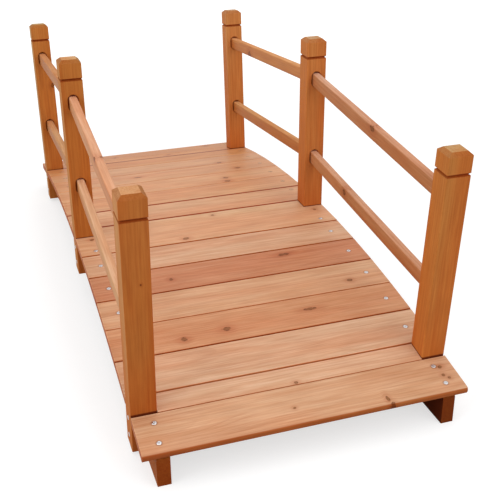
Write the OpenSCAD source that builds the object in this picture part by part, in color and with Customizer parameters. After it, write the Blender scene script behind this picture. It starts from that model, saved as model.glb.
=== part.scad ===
// Arched wooden garden bridge: two cut beams, a deck of cross boards and railings of posts and rails.
// Millimetres, Z up, X along the walk (front end at +X), Y across it, origin under the middle.

/* [Deck] */
// Length of a deck board, which is the width of the bridge
deck_w = 603; // [480:1:800]
// Radius of the arch along the top of the deck
arch_r = 3100; // [2600:20:3800]
// Field boards in each half of the deck, with the crown board counted in the front half
half_boards = 6; // [5:1:8]
// Width of a field board
board_w = 91.5; // [80:0.5:110]
// Thickness of every deck board
board_t = 15; // [12:0.5:22]
// Joint left open between two boards
joint = 2; // [1:0.1:5]
// Joint left open behind the crown board and on the inner side of each filler board
wide_joint = 3; // [1:0.1:6]
// Joint left open between a filler board and the nose board
nose_joint = 1; // [0.5:0.1:4]
// Width of the nose board at each end
nose_w = 89; // [70:1:110]
// Radius of the eased long edges of a board
board_ease = 1.2; // [0.5:0.1:3]
// Radius of the rounded outer edge of a nose board
nose_round = 5.5; // [3:0.5:5.5]

/* [Beams] */
// Height of a beam's end face above the ground
end_h = 56; // [44:1:70]
// Thickness of the plank that a beam is cut from
beam_t = 24; // [18:1:30]
// Depth of a beam, measured square to the arch
beam_depth = 72; // [60:1:80]
// Angle by which the straight tail at each end is flatter than the arch that it follows
tail_lift = 0.3; // [0.2:0.1:1.5]
// Set-back of a beam's end face behind the lower edge of the nose board
beam_back = 1; // [0.5:0.5:20]

/* [Posts] */
// Width of a post across the bridge
post_w = 47; // [40:0.5:56]
// Depth of a post along the bridge
post_d = 44; // [40:0.5:56]
// Length of a post
post_l = 498; // [460:1:620]
// Radius of the eased upright edges of a post
post_ease = 2; // [0.5:0.1:4]
// Outward lean of the end posts
lean = 4; // [0:0.25:8]
// Distance that a middle post's leg reaches below its beam
leg_past = 3; // [0:0.5:8]
// Distance that an end post's leg stays above the ground
leg_clear = 8.5; // [3:0.5:20]
// Height of the hipped top of a post
hip_h = 7; // [4:0.5:14]
// Width of each sloping face of the hipped top, seen from above
hip_in = 8; // [5:0.5:16]
// Height of the cap block between the hip and the groove
cap_h = 31.5; // [20:0.5:40]
// Height of the V groove round a post
groove_h = 6; // [4:0.5:10]
// Depth of the V groove round a post
groove_d = 3.6; // [2:0.2:6]
// Play between a post and the boards round it
post_play = 0.5; // [0.3:0.1:2]

/* [Rails] */
// Thickness of a rail
rail_t = 17; // [14:0.5:22]
// Depth of a rail
rail_d = 30; // [24:0.5:40]
// Radius of the rounded edges of a rail
rail_round = 3.5; // [3:0.5:6.5]
// Distance of the top rail below the top of a post
top_rail_down = 92; // [80:1:110]
// Distance of the lower rail below the top of a post
lower_rail_down = 281; // [200:1:300]
// Depth of the slot that a rail's end is set in
slot_depth = 14; // [8:0.5:16]
// Width that a slot has over the thickness of a rail
slot_side = 7; // [3:0.5:8]
// Height that a slot has over the depth of a rail
slot_over = 8; // [6:0.5:12]

/* [Hidden] */
$fn = 96;
half_w = deck_w / 2;
degrees = 180 / PI;
pitch = board_w + joint;
// half of the opening between the boards beside the middle posts
mid_half = post_d / 2 + post_play;
// arc from the crown to the end of the field boards, where the straight tail starts, and the tail's slope
tail_a = (mid_half + half_boards * pitch) / arch_r * degrees;
tail_slope = tail_a - tail_lift;
// the tail is steeper than the lean of the end posts, so their opening is wider than a post
skew = tail_slope - lean;
tail_open = post_d / cos(skew) + board_t * abs(tan(skew)) + 2 * post_play;
nose_at = tail_open + joint / 2;
tail_l = nose_at + nose_w;
// how far a wide joint reaches into the opening for a pair of posts
wide_in = wide_joint - joint / 2;
// start of the tail on top of the deck, seen from the arch's centre, and the ways along and out of it
tail_at = arch_r * [sin(tail_a), cos(tail_a)];
tail_way = [cos(tail_slope), -sin(tail_slope)];
tail_up = [sin(tail_slope), cos(tail_slope)];
// the top of a beam is the underside of the deck
beam_r = arch_r - board_t;
beam_end = tail_at - board_t * tail_up + (tail_l - beam_back) * tail_way;
beam_x = beam_end.x;
// height of the arch's centre, with the beams' feet on the ground, and of the crown of the deck
arch_z = end_h - beam_end.y;
crown_h = arch_z + arch_r;
// a post is halved over its beam: the leg lies on the beam's outer face
leg_t = post_w / 2;
beam_y = half_w - leg_t;
post_y = half_w - post_w / 2;
// half of the clear width between the two posts of a pair
clear_y = half_w - post_w - post_play;
// where the axis of an end post crosses the middle of the deck's thickness
end_at = tail_at - board_t / 2 * tail_up + tail_open / 2 * tail_way;
end_x = end_at.x;
end_z = arch_z + end_at.y;
// feet of the posts
mid_foot_z = crown_h - board_t - beam_depth - leg_past;
end_foot_z = leg_clear;
end_foot_x = end_x - (end_z - end_foot_z) * tan(lean);
// heights above the foot of a post
eaves = post_l - hip_h;
groove_top = eaves - cap_h;
top_slot = post_l - top_rail_down;
lower_slot = post_l - lower_rail_down;
// a rail sits a little low in its slot
settle = slot_over / 8;

// The rear half is the front half turned over the middle; the left side is the right side turned over.
module rear() { mirror([1, 0, 0]) children(); }
module left() { mirror([0, 1, 0]) children(); }

// Children drawn with the top of the deck at z = 0, set along the arch or on the straight tail.
module on_arch(a) { translate([0, 0, arch_z]) rotate([0, a, 0]) translate([0, 0, arch_r]) children(); }
module on_tail(u) { on_arch(tail_a) rotate([0, -tail_lift, 0]) translate([u, 0, 0]) children(); }

// A flat drawing in X and Z made solid from y0 to y1.
module across(y0, y1) { translate([0, y1, 0]) rotate([90, 0, 0]) linear_extrude(y1 - y0) children(); }

// Flat drawing of a bar with four rounded corners, on its middle.
module rounded(w, h, r) {
    square([w, h - 2 * r], center = true);
    square([w - 2 * r, h], center = true);
    for (x = [r - w / 2, w / 2 - r], y = [r - h / 2, h / 2 - r]) translate([x, y]) circle(r);
}

// Section of a deck board from x = 0 to w, its top on z = 0 and both long top edges eased.
module board_section(w) {
    e = board_ease;
    translate([0, -board_t]) square([w, board_t - e]);
    translate([e, -board_t]) square([w - 2 * e, board_t]);
    for (x = [e, w - e]) translate([x, -e]) circle(e);
}

// Section of a nose board: its outer edge is rounded above and below.
module nose_section() {
    e = board_ease;
    r = min(nose_round, board_t / 2 - 0.5);
    translate([0, -board_t]) square([nose_w / 2, board_t - e]);
    translate([e, -board_t]) square([nose_w - e - r, board_t]);
    translate([nose_w / 2, r - board_t]) square([nose_w / 2, board_t - 2 * r]);
    translate([e, -e]) circle(e);
    for (z = [-r, r - board_t]) translate([nose_w - r, z]) circle(r);
}

module field_board(i) {
    a = (mid_half + (i - 0.5) * pitch) / arch_r * degrees;
    color("peru") on_arch(a) translate([-board_w / 2, 0, 0]) across(-half_w, half_w) board_section(board_w);
}

module nose_board() {
    color("burlywood") on_tail(nose_at) across(-half_w, half_w) nose_section();
}

// The board at the crown is wider than the rest and notched at both ends round the middle posts.
module crown_board() {
    w = 2 * mid_half + pitch - joint / 2 - wide_in;
    a = (mid_half + pitch - joint / 2 - w / 2) / arch_r * degrees;
    color("peru") difference() {
        on_arch(a) translate([-w / 2, 0, 0]) across(-half_w, half_w) board_section(w);
        for (turn = [0, 1]) mirror([0, turn, 0])
            translate([mid_half - 2 * w, clear_y, crown_h - 2 * board_t]) cube([2 * w, post_w, 3 * board_t]);
    }
}

// A filler board closes the deck between the two posts at an end.
module filler_board() {
    w = nose_at - nose_joint - wide_in;
    color("tan") on_tail(wide_in) across(-clear_y, clear_y) board_section(w);
}

// Side view of a beam: an arch of even depth with straight tails, cut level at the feet.
module beam_side() {
    // the top line of a tail runs from just inside the arch to past the end face
    root = tail_at - board_t * tail_up - board_t / 2 * tail_way;
    far = root + 2 * tail_l * tail_way;
    intersection() {
        translate([0, arch_z]) difference() {
            union() {
                circle(beam_r);
                polygon([[0, 0], far, root, [-root.x, root.y], [-far.x, far.y]]);
            }
            circle(beam_r - beam_depth);
        }
        translate([-beam_x, 0]) square([2 * beam_x, crown_h]);
    }
}

module beam() { color("sienna") across(beam_y - beam_t, beam_y) beam_side(); }

// Side view of a post with the half width w: a V groove under the cap block and a hipped top with a flat.
module post_side(w) {
    g = groove_top - groove_h / 2;
    flat = w - hip_in;
    polygon([
        [-w, 0], [w, 0],
        [w, groove_top - groove_h], [w - groove_d, g], [w, groove_top],
        [w, eaves], [flat, post_l], [-flat, post_l], [-w, eaves],
        [-w, groove_top], [groove_d - w, g], [-w, groove_top - groove_h]
    ]);
}

// The side views both ways give the post, standing on its foot, with its edges eased.
module post_bar() {
    intersection() {
        linear_extrude(post_l) rounded(post_d, post_w, post_ease);
        across(-post_w, post_w) post_side(post_d / 2);
        rotate([0, 0, 90]) across(-post_d, post_d) post_side(post_w / 2);
    }
}

// A round-ended slot in the face at -X, at height h above the foot.
module slot(h) {
    w = rail_t + slot_side;
    translate([-post_d / 2 - 1, 0, h]) rotate([90, 0, 90]) linear_extrude(slot_depth + 1) {
        square([w, rail_d + slot_over - w], center = true);
        for (s = [-1, 1]) translate([0, s * (rail_d + slot_over - w) / 2]) circle(w / 2);
    }
}

module slots() {
    slot(top_slot);
    slot(lower_slot);
}

// The inner half of a post is cut away under the deck, where the post stands on its beam.
module halving() {
    translate([-post_d, half_w - post_w - 1, -board_t - post_l])
        cube([2 * post_d, post_w - leg_t + 1, post_l]);
}

module middle_post() {
    color("chocolate") difference() {
        translate([0, post_y, mid_foot_z]) difference() {
            post_bar();
            slots();
            rear() slots();
        }
        on_arch(0) halving();
    }
}

module end_post() {
    color("chocolate") difference() {
        translate([end_foot_x, post_y, end_foot_z]) rotate([0, lean, 0]) difference() {
            post_bar();
            slots();
        }
        on_tail(tail_open / 2) halving();
    }
}

// A rail from a middle post's slot to an end post's slot, both at height h above the feet.
module rail(h) {
    w = post_d / 2;
    ax = w;
    az = mid_foot_z + h - settle;
    bx = end_foot_x + h * sin(lean) - w * cos(lean);
    bz = end_foot_z + h * cos(lean) + w * sin(lean) - settle;
    // the back walls of the two slots, which the rail's ends are cut to
    back = w - slot_depth;
    ex = end_foot_x - back * cos(lean);
    ez = end_foot_z + back * sin(lean);
    color("sandybrown") intersection() {
        translate([ax, post_y, az]) rotate([0, atan2(az - bz, bx - ax), 0]) translate([-post_d, 0, 0])
            rotate([90, 0, 90]) linear_extrude(bx - ax + 3 * post_d) rounded(rail_t, rail_d, rail_round);
        across(post_y - post_w, post_y + post_w) polygon([
            [back, ez], [ex, ez], [ex + 2 * post_l * sin(lean), ez + 2 * post_l * cos(lean)],
            [back, ez + 2 * post_l]
        ]);
    }
}

module top_rail() { rail(top_slot); }
module lower_rail() { rail(lower_slot); }

module left_beam() { left() beam(); }
module right_beam() { beam(); }

left_beam();
right_beam();
left() end_post();  // front_left_post
end_post();  // front_right_post
left() middle_post();  // middle_left_post
middle_post();  // middle_right_post
rear() left() end_post();  // rear_left_post
rear() end_post();  // rear_right_post
left() top_rail();  // front_left_top_rail
left() lower_rail();  // front_left_lower_rail
top_rail();  // front_right_top_rail
lower_rail();  // front_right_lower_rail
rear() left() top_rail();  // rear_left_top_rail
rear() left() lower_rail();  // rear_left_lower_rail
rear() top_rail();  // rear_right_top_rail
rear() lower_rail();  // rear_right_lower_rail
nose_board();  // front_nose_board
filler_board();  // front_filler_board
for (i = [2 : half_boards])
    field_board(i);
crown_board();
for (i = [1 : half_boards])
    rear() field_board(i);
rear() filler_board();  // rear_filler_board
rear() nose_board();  // rear_nose_board
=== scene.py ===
import math
import random

import bmesh
import bpy
from mathutils import Matrix, Vector


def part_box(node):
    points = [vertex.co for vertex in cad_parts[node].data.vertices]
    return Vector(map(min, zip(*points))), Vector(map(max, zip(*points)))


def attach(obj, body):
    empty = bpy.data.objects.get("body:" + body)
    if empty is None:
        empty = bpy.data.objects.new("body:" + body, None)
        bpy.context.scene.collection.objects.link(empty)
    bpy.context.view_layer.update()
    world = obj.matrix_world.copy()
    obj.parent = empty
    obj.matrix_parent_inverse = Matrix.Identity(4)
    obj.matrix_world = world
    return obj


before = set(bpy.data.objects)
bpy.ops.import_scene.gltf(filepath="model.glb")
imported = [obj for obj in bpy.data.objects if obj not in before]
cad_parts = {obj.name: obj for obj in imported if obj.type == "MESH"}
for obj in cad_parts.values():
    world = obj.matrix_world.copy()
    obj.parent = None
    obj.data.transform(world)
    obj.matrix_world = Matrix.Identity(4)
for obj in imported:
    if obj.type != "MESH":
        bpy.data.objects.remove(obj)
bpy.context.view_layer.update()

# Camera at the photograph's view
PHOTO_HEIGHT = 497
SENSOR = 36.0
FOCAL_PIXELS = 874.5
AXIS_ABOVE_CENTRE = 18.6
CAMERA_AT = Vector((1.8418, -0.4894, 1.0064))
CAMERA_LOOKS_AT = Vector((0.3084, 0.0, 0.2536))
CAMERA_ROLL = math.radians(-0.573)

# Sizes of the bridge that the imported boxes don't give, in metres and radians
ARCH_RADIUS = 3.1
BOARD_PITCH = 0.0935
BOARD_HALF_WIDTH = 0.04575
NOSE_HALF_WIDTH = 0.0445
TAIL_LIFT = math.radians(0.3)
BOARD_HALF_THICKNESS = 0.0075
FIELD_BOARDS = 6
POST_LEAN = math.radians(4)
POST_HALF_ACROSS = 0.0235
POST_HALF_ALONG = 0.022
RAIL_DEPTH = 0.030
RAIL_THICKNESS = 0.017

# Screws, with their sizes in metres
HEAD_RADIUS = 0.0043
HEAD_CROWN = 0.0008
HEAD_SUNK = 0.0006
HEAD_RINGS = ((0.0030, 0.98), (0.0038, 0.68), (HEAD_RADIUS, 0.25))
HEAD_SEGMENTS = 24
RECESS_ARM = 0.0023
RECESS_HALF_WIDTH = 0.0006
RECESS_DEPTH = 0.0016
RECESS_TAPER = 0.55
SCREW_LINE = 0.2675
SCREW_WANDER = 0.0022
NOSE_SCREW_SPREAD = 0.0227
CROWN_SCREW_SHIFTS = {"crown_board": -0.050, "rear_board_1": 0.028}
LEG_SCREW_HEIGHTS = (0.024, 0.062)
MIDDLE_LEG_SCREW_HEIGHTS = (0.022, 0.060)
SCREW_SEED = 11

# Tones of the oiled softwood, as light reflected
PALE = (0.640, 0.366, 0.216)
TAN = (0.630, 0.338, 0.184)
FAWN = (0.630, 0.322, 0.162)
HONEY = (0.590, 0.270, 0.108)
ROSE = (0.582, 0.268, 0.130)
RUSSET = (0.530, 0.220, 0.108)
POST_TONE = (0.495, 0.150, 0.024)
BEAM_TONE = (0.330, 0.090, 0.012)
RAIL_TONES = {
    "front_left_top_rail": (0.567, 0.259, 0.107),
    "front_left_lower_rail": (0.562, 0.280, 0.114),
    "front_right_top_rail": (0.501, 0.243, 0.110),
    "front_right_lower_rail": (0.490, 0.209, 0.084),
    "rear_left_top_rail": (0.469, 0.203, 0.064),
    "rear_left_lower_rail": (0.469, 0.203, 0.064),
    "rear_right_top_rail": (0.532, 0.215, 0.061),
    "rear_right_lower_rail": (0.515, 0.218, 0.062),
}

# How each kind of piece is figured and oiled: the spacing and wander of its growth rings, its
# gloss, its least roughness, the strength of its streaks, the shade of its broad bands, and the
# shade of its ends and the painted light inside its slots, where all pieces of the kind share them
BOARD_FINISH = {"wander": 0.045, "gloss": 0.18, "matt": 0.36, "streak": 1.0,
                "flush": (0.96, 0.85, 0.80), "end_shade": (0.72, 0.44, 0.28)}
POST_FINISH = {"ring": 0.0058, "wander": 0.03, "gloss": 0.15, "matt": 0.55, "streak": 0.75,
               "flush": (0.98, 0.80, 0.66), "slot_painted_light": (1.70, 1.20, 0.80)}
RAIL_FINISH = {"ring": 0.0044, "wander": 0.02, "gloss": 0.15, "matt": 0.45, "streak": 1.0,
               "flush": (0.90, 0.70, 0.56), "end_shade": (0.62, 0.52, 0.46)}
BEAM_FINISH = {"ring": 0.0042, "wander": 0.03, "gloss": 0.10, "matt": 0.60, "streak": 1.0,
               "flush": (0.96, 0.85, 0.80)}

# Pith of the log that a piece was sawn from: how far off it lies, and how its seed turns it
BOARD_PITH_ASIDE = 0.05
BOARD_PITH_UNDER = 0.06
BOARD_PITH_TURNS = (2.3, 1.7)
POST_PITH_OFF = 0.05
POST_PITHS = {"front_left_post": (0.0, 0.005, -0.030),
              "middle_left_post": (0.0, -0.008, -0.040)}
RAIL_PITH_OFF = (0.040, 0.045)
RAIL_PITH_TURN = 1.9
BEAM_PITH = (0.0, 0.03, -0.07)
BOARD_RING = 0.0046
BOARD_RING_SWING = 0.0014
BOARD_RING_TURN = 3.1


# Small helpers for node trees
NOISE_MIDDLE = 0.5


def put(socket, tree, value):
    """Gives an input a plain value or a link from another node."""
    if isinstance(value, bpy.types.NodeSocket):
        tree.links.new(value, socket)
    else:
        socket.default_value = value


def calc(tree, operation, a, b=None):
    node = tree.nodes.new("ShaderNodeMath")
    node.operation = operation
    put(node.inputs[0], tree, a)
    if b is not None:
        put(node.inputs[1], tree, b)
    return node.outputs[0]


def plus(tree, a, b, share):
    """One value plus a share of another."""
    return calc(tree, "ADD", a, calc(tree, "MULTIPLY", b, share))


def vector(tree, operation, a, b=None, scale=None):
    node = tree.nodes.new("ShaderNodeVectorMath")
    node.operation = operation
    put(node.inputs[0], tree, a)
    if b is not None:
        put(node.inputs[1], tree, b)
    if scale is not None:
        put(node.inputs["Scale"], tree, scale)
    return node.outputs["Value" if operation in ("LENGTH", "DOT_PRODUCT") else "Vector"]


def split(tree, value):
    node = tree.nodes.new("ShaderNodeSeparateXYZ")
    put(node.inputs[0], tree, value)
    return node.outputs


def join(tree, x, y, z):
    node = tree.nodes.new("ShaderNodeCombineXYZ")
    for socket, value in zip(node.inputs, (x, y, z)):
        put(socket, tree, value)
    return node.outputs[0]


def ramp(tree, value, start, end, low=0.0, high=1.0):
    """A smooth step from low to high while value goes from start to end."""
    node = tree.nodes.new("ShaderNodeMapRange")
    node.interpolation_type = "SMOOTHSTEP"
    for name, v in (("Value", value), ("From Min", start), ("From Max", end),
                    ("To Min", low), ("To Max", high)):
        put(node.inputs[name], tree, v)
    return node.outputs["Result"]


def noise(tree, place, detail, roughness=0.5, scale=1.0):
    node = tree.nodes.new("ShaderNodeTexNoise")
    put(node.inputs["Vector"], tree, place)
    for name, v in (("Scale", scale), ("Detail", detail), ("Roughness", roughness)):
        node.inputs[name].default_value = v
    return node.outputs


def blend(tree, amount, a, b, kind="MIX"):
    node = tree.nodes.new("ShaderNodeMix")
    node.data_type = "RGBA"
    node.blend_type = kind
    put(node.inputs[0], tree, amount)
    put(node.inputs[6], tree, a)
    put(node.inputs[7], tree, b)
    return node.outputs[2]


def tinted(tree, wood, shade):
    """A colour times a shade."""
    return blend(tree, 1.0, wood, shade, "MULTIPLY")


def laid_over(tree, wood, mask, share, stain):
    """Wood with a share of another colour where a mask shows it."""
    return blend(tree, calc(tree, "MULTIPLY", mask, share), wood, stain)


def new_group(name, inputs, outputs):
    """An empty shader group with named sockets, and its two ends."""
    tree = bpy.data.node_groups.new(name, "ShaderNodeTree")
    kinds = {"v": "NodeSocketVector", "f": "NodeSocketFloat", "c": "NodeSocketColor"}
    for socket, kind in inputs:
        tree.interface.new_socket(socket, in_out="INPUT", socket_type=kinds[kind])
    for socket, kind in outputs:
        tree.interface.new_socket(socket, in_out="OUTPUT", socket_type=kinds[kind])
    source = tree.nodes.new("NodeGroupInput").outputs
    target = tree.nodes.new("NodeGroupOutput").inputs
    return tree, source, target


def use_group(tree, group, **values):
    node = tree.nodes.new("ShaderNodeGroup")
    node.node_tree = group
    for name, value in values.items():
        put(node.inputs[name], tree, value)
    return node.outputs


def colour(rgb, share=(1, 1, 1)):
    return tuple(c * s for c, s in zip(rgb, share)) + (1.0,)


# Knots, with their reaches in their own half lengths and half widths, and scales per metre
KNOT_RAGGED = 0.9
KNOT_RAGGED_SCALE = 210.0
KNOT_CORE = (1.15, 0.75)
KNOT_RIM_OUTSIDE = (1.35, 1.05)
KNOT_RIM_INSIDE = (0.55, 0.95)
KNOT_BREAKS = (0.38, 0.60)
KNOT_BREAK_SCALE = 150.0
KNOT_HALO = (4.2, 0.9)
KNOT_PULL = 0.85
KNOT_PULL_FALL = -0.16


def make_knot_group():
    """A knot: a brown core in a broken rim, a stained halo, and grain that flows round them."""
    tree, source, target = new_group(
        "knot",
        [("Place", "v"), ("Flow", "v"), ("Core", "f"), ("Rim", "f"), ("Halo", "f"),
         ("Centre", "v"), ("Length", "f"), ("Width", "f")],
        [("Flow", "v"), ("Core", "f"), ("Rim", "f"), ("Halo", "f")])
    away = split(tree, vector(tree, "SUBTRACT", source["Place"], source["Centre"]))
    along = calc(tree, "DIVIDE", away[0], source["Length"])
    across = calc(tree, "DIVIDE", away[1], source["Width"])
    square = calc(tree, "ADD", calc(tree, "MULTIPLY", along, along),
                  calc(tree, "MULTIPLY", across, across))
    rough_edge = noise(tree, source["Place"], detail=3.0, roughness=0.6, scale=KNOT_RAGGED_SCALE)[0]
    ragged = calc(tree, "SUBTRACT", rough_edge, NOISE_MIDDLE)
    reach = plus(tree, calc(tree, "SQRT", square), ragged, KNOT_RAGGED)
    core = ramp(tree, reach, *KNOT_CORE)
    rim = calc(tree, "MULTIPLY", ramp(tree, reach, *KNOT_RIM_OUTSIDE),
               ramp(tree, reach, *KNOT_RIM_INSIDE))
    breaks = noise(tree, source["Place"], detail=2.0, scale=KNOT_BREAK_SCALE)[0]
    rim = calc(tree, "MULTIPLY", rim, ramp(tree, breaks, *KNOT_BREAKS))
    halo = ramp(tree, reach, *KNOT_HALO)
    near = calc(tree, "EXPONENT", calc(tree, "MULTIPLY", square, KNOT_PULL_FALL))
    pull = calc(tree, "MULTIPLY", near, KNOT_PULL)
    shift = join(tree, 0.0, calc(tree, "MULTIPLY", away[1], pull), 0.0)
    put(target["Flow"], tree, vector(tree, "SUBTRACT", source["Flow"], shift))
    put(target["Core"], tree, calc(tree, "MAXIMUM", source["Core"], core))
    put(target["Rim"], tree, calc(tree, "MAXIMUM", source["Rim"], rim))
    put(target["Halo"], tree, calc(tree, "MAXIMUM", source["Halo"], halo))
    return tree


# Figure of the wood: how often each part of it changes along and across the grain, per metre
DRIFT_SCALE = (1.7, 8.0)
FADE_SCALE = (6.0, 24.0)
FIBRE_SCALE = (9.0, 310.0)
STREAK_SCALE = (9.0, 95.0)
BAND_SCALE = (1.8, 20.0)
CLOUD_SCALE = (11.0, 24.0)
SEED_SHIFT = (3.17, 1.93, 2.71)

# Growth rings: how uneven they are, where the dark late wood of each year starts and stops,
# how strong it is and how it fades in and out
RING_UNEVEN = 2.2
RING_UNEVEN_SCALE = 0.4
LATE_STARTS = (0.30, 0.90)
LATE_STOPS = (1.0, 0.93)
LATE_LEAST = 0.3
LATE_RANGE = 0.7
LATE_FADES = (0.36, 0.62, 0.25, 1.0)


def make_figure_group():
    """Growth rings about a pith that fade in and out, fibres, streaks, bands and soft clouds."""
    tree, source, target = new_group(
        "softwood_figure",
        [("Flow", "v"), ("Pith", "v"), ("Ring", "f"), ("Wander", "f"), ("Seed", "f")],
        [("Late", "f"), ("Fibre", "f"), ("Streak", "f"), ("Band", "f"), ("Cloud", "f")])
    seed = vector(tree, "SCALE", SEED_SHIFT, scale=source["Seed"])

    def stretched(along, across):
        scaled = vector(tree, "MULTIPLY", source["Flow"], (along, across, across))
        return vector(tree, "ADD", scaled, seed)

    drift = noise(tree, stretched(*DRIFT_SCALE), detail=2.0)[1]
    drift = vector(tree, "SUBTRACT", drift, (NOISE_MIDDLE,) * 3)
    drift = vector(tree, "SCALE", drift, scale=source["Wander"])
    wandered = vector(tree, "ADD", source["Flow"], drift)
    from_pith = vector(tree, "SUBTRACT", wandered, source["Pith"])
    radius = vector(tree, "LENGTH", vector(tree, "MULTIPLY", from_pith, (0.0, 1.0, 1.0)))
    count = calc(tree, "DIVIDE", radius, source["Ring"])
    uneven = tree.nodes.new("ShaderNodeTexNoise")
    uneven.noise_dimensions = "1D"
    uneven.inputs["Scale"].default_value = 1.0
    put(uneven.inputs["W"], tree, plus(tree, source["Seed"], count, RING_UNEVEN_SCALE))
    count = plus(tree, count, uneven.outputs[0], RING_UNEVEN)
    part = calc(tree, "FRACT", count)
    profile = calc(tree, "MULTIPLY", ramp(tree, part, *LATE_STARTS), ramp(tree, part, *LATE_STOPS))
    year = tree.nodes.new("ShaderNodeTexWhiteNoise")
    year.noise_dimensions = "1D"
    put(year.inputs["W"], tree, calc(tree, "ADD", calc(tree, "FLOOR", count), source["Seed"]))
    strength = plus(tree, LATE_LEAST, year.outputs[0], LATE_RANGE)
    fading = ramp(tree, noise(tree, stretched(*FADE_SCALE), detail=2.0)[0], *LATE_FADES)
    strength = calc(tree, "MULTIPLY", strength, fading)
    put(target["Late"], tree, calc(tree, "MULTIPLY", profile, strength))
    for name, scale, detail, roughness in (
            ("Fibre", FIBRE_SCALE, 4.0, 0.62), ("Streak", STREAK_SCALE, 4.0, 0.60),
            ("Band", BAND_SCALE, 2.0, 0.55), ("Cloud", CLOUD_SCALE, 3.0, 0.55)):
        put(target[name], tree, noise(tree, stretched(*scale), detail, roughness)[0])
    return tree


# Rubbed arrises
ARRIS_REACH = 0.0022
ARRIS_PATCHES = (0.40, 0.62)
ARRIS_PATCH_SCALE = 48.0


def make_arris_group():
    """Rubbed arrises of a squared piece: where two of its faces meet, broken up by patches."""
    tree, source, target = new_group("arris_wear", [("Place", "v"), ("Half", "v")], [("Wear", "f")])
    depth = vector(tree, "SUBTRACT", source["Half"], vector(tree, "ABSOLUTE", source["Place"]))
    near = [ramp(tree, d, ARRIS_REACH, 0.0) for d in split(tree, depth)]
    pairs = [calc(tree, "MULTIPLY", near[i], near[j]) for i, j in ((0, 1), (1, 2), (0, 2))]
    edge = calc(tree, "MAXIMUM", calc(tree, "MAXIMUM", pairs[0], pairs[1]), pairs[2])
    patches = noise(tree, source["Place"], detail=3.0, roughness=0.6, scale=ARRIS_PATCH_SCALE)[0]
    put(target["Wear"], tree, calc(tree, "MULTIPLY", edge, ramp(tree, patches, *ARRIS_PATCHES)))
    return tree


# Bruised wood round a screw
BRUISE_OUTSIDE = HEAD_RADIUS * 1.9
BRUISE_INSIDE = HEAD_RADIUS * 0.95


def make_bruise_group():
    """Oil and crushed fibres round a screw's head."""
    tree, source, target = new_group(
        "screw_bruise", [("Place", "v"), ("Mark", "f"), ("Centre", "v")], [("Mark", "f")])
    away = vector(tree, "LENGTH", vector(tree, "SUBTRACT", source["Place"], source["Centre"]))
    ring = ramp(tree, away, BRUISE_OUTSIDE, BRUISE_INSIDE)
    put(target["Mark"], tree, calc(tree, "MAXIMUM", source["Mark"], ring))
    return tree


def make_towards_group():
    """Shade and dullness of the part that looks or lies one way: a sawn edge, a top with painted
    light.
    """
    tree, source, target = new_group(
        "shade_towards",
        [("Color", "c"), ("Roughness", "f"), ("Of", "v"), ("Way", "v"), ("Start", "f"),
         ("Full", "f"), ("Shade", "c"), ("Dull", "f")],
        [("Color", "c"), ("Roughness", "f")])
    share = ramp(tree, vector(tree, "DOT_PRODUCT", source["Of"], source["Way"]),
                 source["Start"], source["Full"])
    shaded = tinted(tree, source["Color"], source["Shade"])
    put(target["Color"], tree, blend(tree, share, source["Color"], shaded))
    dulled = calc(tree, "MULTIPLY", share, source["Dull"])
    put(target["Roughness"], tree, calc(tree, "MAXIMUM", source["Roughness"], dulled))
    return tree


# Painted light inside the slots in the posts, by the depth under the sides and from the ends
SLOT_UNDER_SIDES = (0.0005, 0.0015)
SLOT_FROM_ENDS = (0.050, 0.060)


def make_slot_light_group():
    """Painted light inside a slot: below the faces of a squared piece both ways, and short of its
    ends.
    """
    tree, source, target = new_group(
        "painted_slot_light",
        [("Place", "v"), ("Half", "v"), ("Color", "c"), ("Roughness", "f"), ("Shade", "c")],
        [("Color", "c"), ("Roughness", "f")])
    depth = vector(tree, "SUBTRACT", source["Half"], vector(tree, "ABSOLUTE", source["Place"]))
    depth = split(tree, depth)
    inside = calc(tree, "MULTIPLY", ramp(tree, depth[1], *SLOT_UNDER_SIDES),
                  ramp(tree, depth[2], *SLOT_UNDER_SIDES))
    inside = calc(tree, "MULTIPLY", inside, ramp(tree, depth[0], *SLOT_FROM_ENDS))
    shaded = tinted(tree, source["Color"], source["Shade"])
    put(target["Color"], tree, blend(tree, inside, source["Color"], shaded))
    put(target["Roughness"], tree, calc(tree, "MAXIMUM", source["Roughness"], inside))
    return tree


# Painted shadow where a post meets the deck, by the height above the boards
FOOT_LINE_TOP = 0.0024
FOOT_LINE_FULL = 0.0012
FOOT_LINE_DEPTH = 0.0060
FOOT_LINE_INSIDE = 0.0005
FOOT_PAINTED_SHADOW = (0.34, 0.20, 0.22)


def make_foot_group():
    """Painted shadow: a dark line where a post goes through the deck, on the faces that the boards
    meet.
    """
    tree, source, target = new_group(
        "foot_painted_shadow",
        [("Place", "v"), ("Color", "c"), ("Deck", "v"), ("Level", "f"), ("Outward", "v")],
        [("Color", "c")])
    height = vector(tree, "DOT_PRODUCT", source["Place"], source["Deck"])
    above = calc(tree, "SUBTRACT", height, source["Level"])
    line = calc(tree, "MULTIPLY", ramp(tree, above, FOOT_LINE_TOP, FOOT_LINE_FULL),
                ramp(tree, above, -FOOT_LINE_DEPTH, FOOT_LINE_FULL - FOOT_LINE_DEPTH))
    out = vector(tree, "DOT_PRODUCT", source["Place"], source["Outward"])
    clear = calc(tree, "LESS_THAN", out, POST_HALF_ACROSS - FOOT_LINE_INSIDE)
    line = calc(tree, "MULTIPLY", line, clear)
    shaded = tinted(tree, source["Color"], colour(FOOT_PAINTED_SHADOW))
    put(target["Color"], tree, blend(tree, line, source["Color"], shaded))
    return tree


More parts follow.
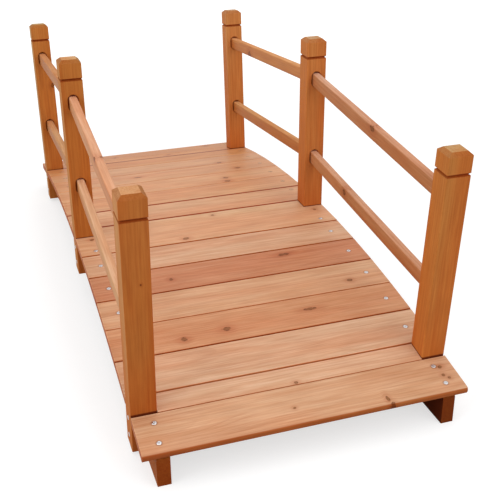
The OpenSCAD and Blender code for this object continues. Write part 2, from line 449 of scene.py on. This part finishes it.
# Oiled colour: where each part of the figure starts and is full, its shade and its share
BAND_RAMP = (0.34, 0.68)
STREAK_RAMP = (0.36, 0.64)
STREAK_PALE = (1.03, 1.07, 1.11)
STREAK_ROSY = (0.97, 0.92, 0.88)
LATE_SHADE = (0.70, 0.48, 0.36)
LATE_SHARE = 0.32
FIBRE_RAMP = (0.2, 0.8)
FIBRE_SHADES = ((0.88, 1.12), (0.80, 1.20), (0.72, 1.28))
CLOUD_LEAST = 0.87
CLOUD_RANGE = 0.26
HALO_SHADE = (0.80, 0.60, 0.52)
HALO_SHARE = 0.55
CORE_SHADE = (0.42, 0.31, 0.19)
RIM_SHADE = (0.24, 0.13, 0.07)
KNOT_SHARE = 0.9
RUBBED_SHADE = (1.22, 1.28, 1.36)
RUBBED_SHARE = 0.7
BRUISE_SHADE = (0.62, 0.52, 0.50)
BRUISE_SHARE = 0.75

# What each part adds to the roughness and to the relief
ROUGHNESS = (("Fibre", 0.22), ("Late", -0.06), ("Wear", 0.10), ("End", 0.22))
RELIEF = (("Late", 0.35), ("Core", 0.5), ("Mark", -0.6))
FIBRE_RELIEF = 0.55
RELIEF_STRENGTH = 0.35
RELIEF_HEIGHT = 0.0007


def make_oil_group():
    """Colour, roughness and relief of oiled softwood from its figure, knots, wear and ends."""
    tree, source, target = new_group(
        "oiled_softwood",
        [("Tone", "c"), ("Flush", "c"), ("End Shade", "c"),
         ("Late", "f"), ("Fibre", "f"), ("Streak", "f"), ("Band", "f"), ("Cloud", "f"),
         ("Core", "f"), ("Rim", "f"), ("Halo", "f"), ("Wear", "f"), ("Mark", "f"), ("End", "f"),
         ("Matt", "f"), ("Strength", "f")],
        [("Color", "c"), ("Roughness", "f"), ("Height", "f")])
    tone = source["Tone"]
    wood = blend(tree, ramp(tree, source["Band"], *BAND_RAMP), tone, source["Flush"])
    rosy, pale = (tinted(tree, wood, colour(shade)) for shade in (STREAK_ROSY, STREAK_PALE))
    streaked = blend(tree, ramp(tree, source["Streak"], *STREAK_RAMP), rosy, pale)
    wood = blend(tree, source["Strength"], wood, streaked)
    wood = laid_over(tree, wood, source["Late"], LATE_SHARE, tinted(tree, tone, colour(LATE_SHADE)))
    fibres = join(tree, *[ramp(tree, source["Fibre"], *FIBRE_RAMP, *ends) for ends in FIBRE_SHADES])
    cloud = plus(tree, CLOUD_LEAST, source["Cloud"], CLOUD_RANGE)
    wood = vector(tree, "SCALE", vector(tree, "MULTIPLY", wood, fibres), scale=cloud)
    wood = laid_over(tree, wood, source["Halo"], HALO_SHARE, tinted(tree, wood, colour(HALO_SHADE)))
    wood = laid_over(tree, wood, source["Core"], KNOT_SHARE, tinted(tree, tone, colour(CORE_SHADE)))
    wood = laid_over(tree, wood, source["Rim"], KNOT_SHARE, tinted(tree, tone, colour(RIM_SHADE)))
    rubbed = tinted(tree, wood, colour(RUBBED_SHADE))
    wood = laid_over(tree, wood, source["Wear"], RUBBED_SHARE, rubbed)
    bruised = tinted(tree, wood, colour(BRUISE_SHADE))
    wood = laid_over(tree, wood, source["Mark"], BRUISE_SHARE, bruised)
    wood = blend(tree, source["End"], wood, tinted(tree, wood, source["End Shade"]))
    put(target["Color"], tree, wood)
    rough = source["Matt"]
    for name, share in ROUGHNESS:
        rough = plus(tree, rough, source[name], share)
    put(target["Roughness"], tree, rough)
    relief = calc(tree, "MULTIPLY", source["Fibre"], FIBRE_RELIEF)
    for name, share in RELIEF:
        relief = plus(tree, relief, source[name], share)
    put(target["Height"], tree, relief)
    return tree


KNOT = make_knot_group()
FIGURE = make_figure_group()
ARRIS = make_arris_group()
BRUISE = make_bruise_group()
TOWARDS = make_towards_group()
SLOT_LIGHT_GROUP = make_slot_light_group()
FOOT_SHADOW_GROUP = make_foot_group()
OIL = make_oil_group()
END_TURN = (0.88, 0.97)


def axes_of(grain, face):
    """A piece's own axes: x along the grain, z out of its face, y across."""
    x = Vector(grain).normalized()
    z = (Vector(face) - x * x.dot(Vector(face))).normalized()
    return Matrix((x, z.cross(x), z)).transposed()


def oiled_wood(name, at, axes, half, tone, seed, pith, knots, facing, ring, wander, gloss, matt,
               streak, flush, end_shade, screws=(), lying=(), slot_painted_light=None, foot=None):
    """Material of one piece of wood, in that piece's own axes.

    Facing and lying list the shades of what looks or lies one way: the way, where the shade
    starts and is full, and the shade."""
    material = bpy.data.materials.new(name)
    material.use_nodes = True
    tree = material.node_tree
    shader = tree.nodes["Principled BSDF"]
    coordinates = tree.nodes.new("ShaderNodeTexCoord")
    mapping = tree.nodes.new("ShaderNodeMapping")
    mapping.vector_type = "TEXTURE"
    mapping.inputs["Location"].default_value = at
    mapping.inputs["Rotation"].default_value = axes.to_euler()
    put(mapping.inputs["Vector"], tree, coordinates.outputs["Object"])
    place, normal = mapping.outputs["Vector"], coordinates.outputs["Normal"]
    flow, core, rim, halo, mark = place, 0.0, 0.0, 0.0, 0.0
    for along, across, length, width in knots:
        knot = use_group(tree, KNOT, Place=place, Flow=flow, Core=core, Rim=rim, Halo=halo,
                         Centre=(along, across, 0.0), Length=length, Width=width)
        flow, core, rim, halo = knot["Flow"], knot["Core"], knot["Rim"], knot["Halo"]
    for spot in screws:
        mark = use_group(tree, BRUISE, Place=place, Mark=mark, Centre=spot)["Mark"]
    figure = use_group(tree, FIGURE, Flow=flow, Pith=pith, Ring=ring, Wander=wander, Seed=seed)
    wear = use_group(tree, ARRIS, Place=place, Half=half)["Wear"]
    endways = calc(tree, "ABSOLUTE", vector(tree, "DOT_PRODUCT", normal, axes.col[0]))
    oil_and_painted_shade = use_group(
        tree, OIL, Tone=colour(tone), Flush=colour(tone, flush), Late=figure["Late"],
        Fibre=figure["Fibre"], Streak=figure["Streak"], Band=figure["Band"], Cloud=figure["Cloud"],
        Core=core, Rim=rim, Halo=halo, Wear=wear, Mark=mark, Matt=matt, Strength=streak,
        End=ramp(tree, endways, *END_TURN), **{"End Shade": colour(end_shade)})
    finish, rough = oil_and_painted_shade["Color"], oil_and_painted_shade["Roughness"]
    for of, shades, dull in ((normal, facing, 1.0), (place, lying, 0.0)):
        for way, start, full, shade in shades:
            part = use_group(tree, TOWARDS, Color=finish, Roughness=rough, Of=of, Way=way,
                             Start=start, Full=full, Shade=colour(shade), Dull=dull)
            finish, rough = part["Color"], part["Roughness"]
    # Painted light inside the post's slots
    if slot_painted_light:
        part = use_group(tree, SLOT_LIGHT_GROUP, Place=place, Half=half, Color=finish, Roughness=rough,
                         Shade=colour(slot_painted_light))
        finish, rough = part["Color"], part["Roughness"]
    # Painted shadow where the post meets the deck
    if foot:
        finish = use_group(tree, FOOT_SHADOW_GROUP, Place=place, Color=finish, **foot)["Color"]
    relief = tree.nodes.new("ShaderNodeBump")
    relief.inputs["Strength"].default_value = RELIEF_STRENGTH
    relief.inputs["Distance"].default_value = RELIEF_HEIGHT
    put(relief.inputs["Height"], tree, oil_and_painted_shade["Height"])
    shader.inputs["Specular IOR Level"].default_value = gloss
    put(shader.inputs["Base Color"], tree, finish)
    put(shader.inputs["Roughness"], tree, rough)
    put(shader.inputs["Normal"], tree, relief.outputs["Normal"])
    return material


def dress(node, *wood, **finish):
    """Gives a CAD node its own oiled wood."""
    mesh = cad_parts[node].data
    mesh.materials.clear()
    mesh.materials.append(oiled_wood(node + "_wood", *wood, **finish))


# Where the boards lie
def middle_of(node):
    low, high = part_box(node)
    return (low + high) / 2


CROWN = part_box("left_beam")[1].z + 2 * BOARD_HALF_THICKNESS
ARCH_CENTRE = Vector((0, 0, CROWN - ARCH_RADIUS))


def board_tilt(node):
    """Angle of a deck board down from level, positive towards the front end."""
    end, kind = node.split("_")[:2]
    if kind == "board":
        out = middle_of(node) - ARCH_CENTRE
        return math.atan2(out.x, out.z)
    last = board_tilt("%s_board_%d" % (end, FIELD_BOARDS))
    return last + math.copysign(BOARD_PITCH / 2 / ARCH_RADIUS - TAIL_LIFT, last)


def board_axes(node):
    a = board_tilt(node)
    return axes_of((0, 1, 0), (math.sin(a), 0, math.cos(a)))


def board_half_width(node):
    if "nose" in node:
        return NOSE_HALF_WIDTH
    if "filler" in node or "crown" in node:
        low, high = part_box(node)
        return (high.x - low.x) / 2
    return BOARD_HALF_WIDTH


# Deck boards, each with its tone, how light it is, a seed and its knots:
# along the board, across it, half length, half width
DECK = [
    ("front_nose_board", TAN, 0.93, 1.3,
     [(-0.022, -0.008, 0.0026, 0.0022), (0.147, -0.031, 0.0030, 0.0058),
      (0.152, -0.046, 0.0040, 0.0050), (0.277, 0.018, 0.0042, 0.0034),
      (0.273, -0.003, 0.0030, 0.0028), (0.281, -0.012, 0.0030, 0.0028)]),
    ("front_filler_board", PALE, 0.98, 2.9, [(0.002, -0.018, 0.0036, 0.0026)]),
    ("front_board_6", PALE, 0.96, 3.2, []),
    ("front_board_5", ROSE, 0.97, 5.1,
     [(-0.163, -0.018, 0.0060, 0.0050), (-0.076, -0.010, 0.0075, 0.0050),
      (0.104, 0.006, 0.0120, 0.0034)]),
    ("front_board_4", TAN, 0.94, 6.6, [(0.222, -0.017, 0.0050, 0.0036)]),
    ("front_board_3", RUSSET, 0.97, 7.9,
     [(-0.138, -0.005, 0.0042, 0.0036), (0.122, 0.024, 0.0110, 0.0040)]),
    ("front_board_2", PALE, 0.96, 9.4, []),
    ("crown_board", TAN, 1.03, 10.2,
     [(-0.063, -0.052, 0.0068, 0.0050), (0.274, 0.004, 0.0040, 0.0036),
      (-0.267, 0.008, 0.0050, 0.0040), (0.029, 0.050, 0.0034, 0.0028)]),
    ("rear_board_1", TAN, 1.02, 12.5, []),
    ("rear_board_2", FAWN, 1.01, 13.1, []),
    ("rear_board_3", FAWN, 1.03, 14.7,
     [(0.138, -0.006, 0.0058, 0.0058), (0.134, -0.036, 0.0066, 0.0058)]),
    ("rear_board_4", FAWN, 1.00, 15.3,
     [(0.196, -0.020, 0.0070, 0.0058), (-0.081, 0.006, 0.0092, 0.0038)]),
    ("rear_board_5", FAWN, 0.97, 16.9, [(0.166, -0.036, 0.0062, 0.0056)]),
    ("rear_board_6", HONEY, 1.01, 17.2, []),
    ("rear_filler_board", HONEY, 1.01, 18.6, [(0.065, 0.002, 0.0050, 0.0040)]),
    ("rear_nose_board", HONEY, 0.96, 19.4,
     [(0.205, 0.016, 0.0065, 0.0050), (-0.090, -0.012, 0.0040, 0.0034)]),
]

# Edges of the boards: how far a face turns an edge's way before its shade starts and is full,
# and the shade, which in the joints is partly stain and partly painted shade of the gaps
BOARD_JOINT = (0.20, 0.60, (0.72, 0.34, 0.12))
OPEN_JOINT = (0.08, 0.35, (0.80, 0.20, 0.045))
FAR_JOINT = (0.08, 0.35, (0.55, 0.12, 0.03))
SHUT_JOINT = (0.40, 0.80, (0.90, 0.72, 0.58))
TIGHT_JOINT = (0.40, 0.80, (0.92, 0.56, 0.34))
FILLER_JOINT = (0.30, 0.70, (0.74, 0.40, 0.22))
WIDE_JOINT = (0.40, 0.80, (1.00, 0.60, 0.36))
NOSE_EDGE = (0.40, 0.80, (0.68, 0.34, 0.15))

# Width and shade of the darker strip beside a joint, which widens the joint's dark line, and the
# share of the width where it is full
BESIDE = {
    BOARD_JOINT: (0.0028, (0.82, 0.65, 0.50)),
    OPEN_JOINT: (0.0042, (0.58, 0.31, 0.16)),
    FAR_JOINT: (0.0064, (0.48, 0.25, 0.14)),
}
BESIDE_FULL = 0.25

# Joints that aren't the usual ones, by the board behind and the board before
JOINTS = {
    ("front_filler_board", "front_nose_board"): FILLER_JOINT,
    ("front_board_6", "front_filler_board"): WIDE_JOINT,
    ("front_board_4", "front_board_5"): TIGHT_JOINT,
    ("rear_board_1", "crown_board"): OPEN_JOINT,
    ("rear_board_2", "rear_board_1"): OPEN_JOINT,
    ("rear_filler_board", "rear_board_6"): FAR_JOINT,
}

# A paler band along the rear half of the crown board
BOARD_BANDS = {"crown_board": [((0, 1, 0), 0.010, 0.045, (1.00, 1.09, 1.11))]}


def board_edges(node, axes, half_width):
    """Shades of a board's two edges, dark in the joints with stain and painted shade, and of the
    darker strips beside them.
    """
    rear_edge = front_edge = SHUT_JOINT if node.startswith("rear") else BOARD_JOINT
    for (behind, before), joint in JOINTS.items():
        if node == before:
            rear_edge = joint
        elif node == behind:
            front_edge = joint
    if node == "front_nose_board":
        front_edge = NOSE_EDGE
    elif node == "rear_nose_board":
        rear_edge = NOSE_EDGE
    edges = ((1, rear_edge), (-1, front_edge))
    facing = [(axes.col[1] * way,) + edge for way, edge in edges]
    lying = []
    for way, edge in edges:
        if edge in BESIDE:
            strip, shade = BESIDE[edge]
            full = half_width - strip * BESIDE_FULL
            lying.append(((0, way, 0), half_width - strip, full, shade))
    return facing, lying + BOARD_BANDS.get(node, [])


def deck_screw_places(node):
    """Places of a deck board's screws, along and across the board from its middle."""
    if "filler" in node:
        return []
    lines = (CROWN_SCREW_SHIFTS.get(node, 0.0),)
    if "nose" in node:
        lines = (-NOSE_SCREW_SPREAD, NOSE_SCREW_SPREAD)
    return [(side * SCREW_LINE, line) for side in (-1, 1) for line in lines]


wanderer = random.Random(SCREW_SEED)
deck_screws = {"front": [], "rear": []}
for node, tone, light, seed, knots in DECK:
    low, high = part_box(node)
    axes, at, half_width = board_axes(node), middle_of(node), board_half_width(node)
    spots = []
    for along, across in deck_screw_places(node):
        spot = Vector((along + wanderer.uniform(-1, 1) * SCREW_WANDER,
                       across + wanderer.uniform(-1, 1) * SCREW_WANDER, BOARD_HALF_THICKNESS))
        spots.append(spot)
        end = "rear" if node.startswith("rear") else "front"
        deck_screws[end].append((at + axes @ spot, axes.col[2].copy()))
    half = ((high.y - low.y) / 2, half_width, BOARD_HALF_THICKNESS)
    aside, under = (turn * seed for turn in BOARD_PITH_TURNS)
    pith = (0.0, BOARD_PITH_ASIDE * math.sin(aside),
            -BOARD_PITH_UNDER - BOARD_PITH_ASIDE * math.cos(under))
    ring = BOARD_RING + BOARD_RING_SWING * math.sin(seed * BOARD_RING_TURN)
    facing, lying = board_edges(node, axes, half_width)
    dress(node, at, axes, half, [c * light for c in tone], seed, pith, knots, facing, ring,
          screws=spots, lying=lying, **BOARD_FINISH)

# Posts, each with a seed, the shares of its tone, the painted light and shade of its head and of
# its leg, the shades of its flat top, the painted light of its side hips, and its knots
FLAT_SHADE = (1.17, 1.85, 3.1)
PALE_FLAT_SHADE = (1.50, 2.36, 4.7)
SIDE_HIP_PAINTED_LIGHT = (1.00, 1.12, 1.35)
PALE_HIP_PAINTED_LIGHT = (1.06, 1.40, 2.10)
POSTS = {
    "front_left_post": (21.1, (0.95, 0.94, 1.00), (1.01, 1.06, 1.16), (0.97, 0.82, 0.70),
                        PALE_FLAT_SHADE, PALE_HIP_PAINTED_LIGHT, [(0.092, -0.006, 0.0015, 0.0014)]),
    "front_right_post": (22.7, (1.07, 1.17, 1.40), (0.96, 1.00, 1.06), (1.00, 1.00, 1.00),
                         FLAT_SHADE, SIDE_HIP_PAINTED_LIGHT, []),
    "middle_left_post": (23.3, (0.94, 1.02, 1.12), (1.02, 1.12, 1.22), (0.97, 0.92, 0.90),
                         PALE_FLAT_SHADE, PALE_HIP_PAINTED_LIGHT, []),
    "middle_right_post": (24.9, (1.07, 1.15, 1.60), (1.02, 1.12, 1.22), (0.93, 0.74, 0.58),
                          FLAT_SHADE, SIDE_HIP_PAINTED_LIGHT, []),
    "rear_left_post": (25.4, (0.97, 1.17, 1.44), (1.02, 1.12, 1.22), (0.97, 0.90, 0.86),
                       FLAT_SHADE, SIDE_HIP_PAINTED_LIGHT, [(0.082, -0.020, 0.0060, 0.0050)]),
    "rear_right_post": (26.8, (1.10, 1.31, 2.00), (1.02, 1.22, 1.50), (0.97, 0.68, 0.43),
                        FLAT_SHADE, SIDE_HIP_PAINTED_LIGHT, []),
}

# Painted shade on the posts' caps and grooves and painted light on their outer sides, how far a
# face turns that way before they start and are full, and how far above and below a post's middle
# the painted light and shade of its head and its leg do
HIP_PAINTED_SHADE = (0.76, 0.77, 0.95)
GROOVE_PAINTED_SHADE = (0.70, 0.58, 0.50)
OUTER_SIDE_PAINTED_LIGHT = (1.15, 1.70, 3.55)
CAP_TURN = (0.50, 0.75)
SIDE_TURN = (0.60, 0.90)
SIDE_HIP_TURN = (0.94, 0.99)
HEAD_PAINTED_LIGHT_ABOVE = (0.02, 0.24)
LEG_PAINTED_SHADE_BELOW = (-0.02, 0.20)
HIP_RUN = 0.008
HIP_RISE = 0.007
# Painted shade in a band along the groove
GROOVE_BAND_PAINTED_SHADE = (0.80, 0.46, 0.22)
GROOVE_BELOW_TOP = 0.0385
GROOVE_HEIGHT = 0.006
GROOVE_BLUR = 0.001


def post_facing(up, outward, side_hip_painted_light):
    """Painted shade on a post's cap and its groove, and painted light on its outer side and side
    hips.
    """
    hips = [(up * HIP_RUN + outward * HIP_RISE * turn).normalized() for turn in (1, -1)]
    facing = [(up, *CAP_TURN, HIP_PAINTED_SHADE), (-up, *CAP_TURN, GROOVE_PAINTED_SHADE),
              (outward, *SIDE_TURN, OUTER_SIDE_PAINTED_LIGHT)]
    return facing + [(way, *SIDE_HIP_TURN, side_hip_painted_light) for way in hips]


def post_lying(half_length, head, leg):
    """Painted light and shade of a post's head and leg, and painted shade in its groove, which
    stops at its upper edge.
    """
    groove_top = half_length - GROOVE_BELOW_TOP
    lying = [((1, 0, 0), *HEAD_PAINTED_LIGHT_ABOVE, head), ((-1, 0, 0), *LEG_PAINTED_SHADE_BELOW, leg)]
    # A band of painted shade in the groove, up to its upper edge
    for edge, oil_and_painted_shade in ((groove_top - GROOVE_HEIGHT, GROOVE_BAND_PAINTED_SHADE),
                      (groove_top, [1 / c for c in GROOVE_BAND_PAINTED_SHADE])):
        lying.append(((1, 0, 0), edge - GROOVE_BLUR, edge + GROOVE_BLUR, oil_and_painted_shade))
    return lying


def post_foot(board, at, axes, outward):
    """The deck's plane and the outward way in a post's own axes, for its painted foot shadow."""
    deck = board_axes(board).col[2]
    deck_top = middle_of(board) + deck * BOARD_HALF_THICKNESS
    own = axes.transposed()
    return {"Deck": own @ deck, "Level": deck.dot(deck_top - at), "Outward": own @ outward}


leg_screws = {"left": [], "right": []}
for node, (seed, share, head, leg, flat, side_hip_painted_light, knots) in POSTS.items():
    end, side = node.split("_")[:2]
    lean = {"front": POST_LEAN, "middle": 0.0, "rear": -POST_LEAN}[end]
    up = Vector((math.sin(lean), 0, math.cos(lean)))
    low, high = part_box(node)
    at = middle_of(node)
    axes = axes_of(up, (1, 0, 0))
    outward = Vector((0, 1 if side == "right" else -1, 0))
    heights = MIDDLE_LEG_SCREW_HEIGHTS if end == "middle" else LEG_SCREW_HEIGHTS
    spots = []
    for height in heights:
        along = (low.z + height - at.z) / up.z
        spot = at + up * along + outward * POST_HALF_ACROSS
        spots.append(axes.transposed() @ (spot - at))
        leg_screws[side].append((spot, outward))
    half = ((high.z - low.z) / 2, POST_HALF_ACROSS, POST_HALF_ALONG)
    turned = (0.0, POST_PITH_OFF * math.sin(seed), POST_PITH_OFF * math.cos(seed))
    board = "crown_board" if end == "middle" else end + "_filler_board"
    dress(node, at, axes, half, colour(POST_TONE, share)[:3], seed, POST_PITHS.get(node, turned),
          knots, post_facing(up, outward, side_hip_painted_light), end_shade=flat, screws=spots,
          lying=post_lying(half[0], head, leg), foot=post_foot(board, at, axes, outward),
          **POST_FINISH)

# Rails
RAIL_KNOTS = {
    "front_right_top_rail": [(0.021, -0.009, 0.0085, 0.0050)],
    "front_right_lower_rail": [(-0.090, -0.005, 0.0058, 0.0060)],
    "rear_right_top_rail": [(-0.127, 0.009, 0.0095, 0.0075)],
    "front_left_top_rail": [(0.018, 0.011, 0.0075, 0.0034)],
}
# Painted light on the rails' tops and painted shade on their undersides
RAIL_TOP_PAINTED_LIGHT = (1.14, 1.34, 1.95)
RAIL_UNDER_PAINTED_SHADE = (0.72, 0.58, 0.48)
RAIL_TURN = (0.45, 0.85)
RAIL_FACING = [((0, 0, 1), *RAIL_TURN, RAIL_TOP_PAINTED_LIGHT), ((0, 0, -1), *RAIL_TURN, RAIL_UNDER_PAINTED_SHADE)]
FIRST_RAIL_SEED = 31.0
RAIL_SEED_STEP = 1.37

seed = FIRST_RAIL_SEED
for node, tone in RAIL_TONES.items():
    end, side = node.split("_")[:2]
    low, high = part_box(node)
    run, drop = high.x - low.x, high.z - low.z - RAIL_DEPTH
    way = 1 if end == "front" else -1
    axes = axes_of((run, 0, -way * drop), (0, 1 if side == "right" else -1, 0))
    half = (run / 2, RAIL_DEPTH / 2, RAIL_THICKNESS / 2)
    turn = seed * RAIL_PITH_TURN
    pith = (0.0, RAIL_PITH_OFF[0] * math.sin(turn), RAIL_PITH_OFF[1] * math.cos(turn))
    dress(node, middle_of(node), axes, half, tone, seed, pith, RAIL_KNOTS.get(node, ()),
          RAIL_FACING, **RAIL_FINISH)
    seed += RAIL_SEED_STEP

# Beams, each with a seed, the shade of its end faces, darker end grain with painted shade under the
# deck's nose, and its knots
BEAMS = {
    "left_beam": (44.3, (0.80, 0.60, 0.52),
                  [(0.310, 0.012, 0.0080, 0.0070), (-0.150, 0.045, 0.0070, 0.0060)]),
    "right_beam": (47.9, (0.58, 0.42, 0.37),
                   [(-0.360, -0.010, 0.0080, 0.0065), (0.120, 0.050, 0.0060, 0.0055)]),
}
# Painted shade on the beams' inner faces, under the deck
BEAM_INNER_PAINTED_SHADE = (0.30, 0.16, 0.10)
for node, (seed, end_shade, knots) in BEAMS.items():
    low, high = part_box(node)
    axes = axes_of((1, 0, 0), (0, -1 if node == "left_beam" else 1, 0))
    half = ((high.x - low.x) / 2, (high.z - low.z) / 2, (high.y - low.y) / 2)
    dress(node, middle_of(node), axes, half, BEAM_TONE, seed, BEAM_PITH, knots,
          [(-axes.col[2], *SIDE_TURN, BEAM_INNER_PAINTED_SHADE)], end_shade=end_shade, **BEAM_FINISH)

# Screws with a raised head and a cross recess
ZINC_BLOOM_SCALE = 900.0
ZINC_ROUGHNESS = (0.3, 0.7, 0.22, 0.42)


def zinc(name, bright, dull):
    material = bpy.data.materials.new(name)
    material.use_nodes = True
    tree = material.node_tree
    shader = tree.nodes["Principled BSDF"]
    place = tree.nodes.new("ShaderNodeTexCoord").outputs["Object"]
    bloom = noise(tree, place, detail=3.0, roughness=0.6, scale=ZINC_BLOOM_SCALE)[0]
    put(shader.inputs["Base Color"], tree, blend(tree, bloom, colour(bright), colour(dull)))
    put(shader.inputs["Roughness"], tree, ramp(tree, bloom, *ZINC_ROUGHNESS))
    shader.inputs["Metallic"].default_value = 1.0
    return material


NEW_ZINC = zinc("new_zinc", (0.72, 0.72, 0.73), (0.48, 0.48, 0.49))
DULL_ZINC = zinc("dull_zinc", (0.60, 0.38, 0.23), (0.48, 0.29, 0.17))


def screw_head():
    """One head with its top at the crown and its rim sunk in the wood, axis along z."""
    bm = bmesh.new()
    corners = []
    for quarter in range(4):
        turn = Matrix.Rotation(quarter * math.pi / 2, 3, "Z")
        for x, y in ((RECESS_ARM, -RECESS_HALF_WIDTH), (RECESS_ARM, RECESS_HALF_WIDTH),
                     (RECESS_HALF_WIDTH, RECESS_HALF_WIDTH)):
            corners.append(bm.verts.new(turn @ Vector((x, y, HEAD_CROWN))))
    mouth = bm.faces.new(corners)
    loop = list(mouth.edges)
    for radius, share in HEAD_RINGS:
        ring = bmesh.ops.create_circle(bm, cap_ends=False, radius=radius, segments=HEAD_SEGMENTS,
                                       matrix=Matrix.Translation((0, 0, HEAD_CROWN * share)))
        edges = list({e for v in ring["verts"] for e in v.link_edges})
        bmesh.ops.bridge_loops(bm, edges=loop + edges)
        loop = edges
    skirt = bmesh.ops.extrude_edge_only(bm, edges=loop)["geom"]
    rim = [g for g in skirt if isinstance(g, bmesh.types.BMVert)]
    bmesh.ops.translate(bm, verts=rim, vec=(0, 0, -HEAD_SUNK - HEAD_CROWN * HEAD_RINGS[-1][1]))
    bmesh.ops.contextual_create(bm, geom=[g for g in skirt if isinstance(g, bmesh.types.BMEdge)
                                          and all(v in rim for v in g.verts)])
    floor_geom = bmesh.ops.extrude_face_region(bm, geom=[mouth])["geom"]
    floor_verts = [g for g in floor_geom if isinstance(g, bmesh.types.BMVert)]
    bmesh.ops.delete(bm, geom=[mouth], context="FACES_ONLY")
    bmesh.ops.scale(bm, verts=floor_verts, vec=(RECESS_TAPER, RECESS_TAPER, 1))
    bmesh.ops.translate(bm, verts=floor_verts, vec=(0, 0, -RECESS_DEPTH + HEAD_SUNK))
    bmesh.ops.recalc_face_normals(bm, faces=bm.faces)
    mesh = bpy.data.meshes.new("screw_head")
    bm.to_mesh(mesh)
    bm.free()
    return mesh


HEAD = screw_head()


def screws(name, places, plate=NEW_ZINC):
    """One piece of several screws, each turned at its own angle."""
    bm = bmesh.new()
    for spot, outward in places:
        turn = outward.to_track_quat("Z", "Y").to_matrix().to_4x4()
        turn = turn @ Matrix.Rotation(wanderer.uniform(0, math.pi / 2), 4, "Z")
        before = len(bm.verts)
        bm.from_mesh(HEAD)
        bm.verts.ensure_lookup_table()
        bmesh.ops.transform(bm, matrix=Matrix.Translation(spot) @ turn, verts=bm.verts[before:])
    mesh = bpy.data.meshes.new(name)
    bm.to_mesh(mesh)
    bm.free()
    mesh.materials.append(plate)
    piece = bpy.data.objects.new(name, mesh)
    bpy.context.scene.collection.objects.link(piece)
    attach(piece, "root")


screws("front_deck_screws", deck_screws["front"])
screws("rear_deck_screws", deck_screws["rear"], DULL_ZINC)
screws("left_leg_screws", leg_screws["left"])
screws("right_leg_screws", leg_screws["right"])

# Floor and light: how bright the floor shows near the bridge and far from it, the fill from all
# round, and each lamp's place, what it lights, its size and its watts
WHITE = (1.0, 1.0, 1.0)
FLOOR_HALF_SIZE = 30.0
FLOOR_GREY = (0.42, 0.42, 0.42)
FLOOR_ROUGHNESS = 0.9
FLOOR_LIFT = (0.9, 3.2, 0.64, 0.85)
FILL = 0.76
SOFTBOXES = {
    "overhead": ((-0.2, 0.2, 3.0), (0.0, 0.0, 0.1), 3.0, 26),
    "front_right": ((2.6, 1.3, 1.8), (0.0, 0.0, 0.3), 2.0, 18),
    "left": ((1.0, -2.8, 1.9), (0.0, 0.0, 0.3), 2.0, 30),
}


def background_rays(tree):
    """One for the rays that show the background itself, straight, mirrored or through glass."""
    path = tree.nodes.new("ShaderNodeLightPath").outputs
    seen = calc(tree, "MAXIMUM", path["Is Camera Ray"], path["Is Glossy Ray"])
    return calc(tree, "MAXIMUM", seen, path["Is Transmission Ray"])


def pale_floor():
    bm = bmesh.new()
    bmesh.ops.create_grid(bm, x_segments=1, y_segments=1, size=FLOOR_HALF_SIZE)
    mesh = bpy.data.meshes.new("floor")
    bm.to_mesh(mesh)
    bm.free()
    floor = bpy.data.objects.new("floor", mesh)
    bpy.context.scene.collection.objects.link(floor)
    material = bpy.data.materials.new("floor_paper")
    material.use_nodes = True
    tree = material.node_tree
    shader = tree.nodes["Principled BSDF"]
    shader.inputs["Base Color"].default_value = colour(FLOOR_GREY)
    shader.inputs["Roughness"].default_value = FLOOR_ROUGHNESS
    shader.inputs["Specular IOR Level"].default_value = 0.0
    shader.inputs["Emission Color"].default_value = colour(WHITE)
    out = vector(tree, "LENGTH", tree.nodes.new("ShaderNodeTexCoord").outputs["Object"])
    lift = ramp(tree, out, *FLOOR_LIFT)
    put(shader.inputs["Emission Strength"], tree,
        calc(tree, "MULTIPLY", background_rays(tree), lift))
    mesh.materials.append(material)


def studio_world():
    """White to the eye and to gloss, and a soft grey fill for the light on the bridge."""
    world = bpy.data.worlds.new("studio")
    bpy.context.scene.world = world
    world.use_nodes = True
    tree = world.node_tree
    background = tree.nodes["Background"]
    background.inputs["Color"].default_value = colour(WHITE)
    strength = ramp(tree, background_rays(tree), 0.0, 1.0, FILL, 1.0)
    put(background.inputs["Strength"], tree, strength)


def softbox(name, at, towards, size, watts):
    light = bpy.data.lights.new(name, "AREA")
    light.shape = "SQUARE"
    light.size = size
    light.energy = watts
    lamp = bpy.data.objects.new(name, light)
    lamp.location = at
    lamp.rotation_euler = (Vector(towards) - Vector(at)).to_track_quat("-Z", "Y").to_euler()
    bpy.context.scene.collection.objects.link(lamp)


def photo_camera():
    data = bpy.data.cameras.new("camera")
    data.sensor_width = SENSOR
    data.lens = FOCAL_PIXELS * SENSOR / PHOTO_HEIGHT
    data.shift_y = -AXIS_ABOVE_CENTRE / PHOTO_HEIGHT
    data.dof.use_dof = False
    camera = bpy.data.objects.new("camera", data)
    turn = (CAMERA_LOOKS_AT - CAMERA_AT).to_track_quat("-Z", "Y").to_matrix()
    turn = turn @ Matrix.Rotation(CAMERA_ROLL, 3, "Z")
    camera.matrix_world = Matrix.Translation(CAMERA_AT) @ turn.to_4x4()
    bpy.context.scene.collection.objects.link(camera)
    bpy.context.scene.camera = camera


pale_floor()
studio_world()
for name, lamp in SOFTBOXES.items():
    softbox(name, *lamp)
photo_camera()
bpy.context.scene.view_settings.view_transform = "Standard"
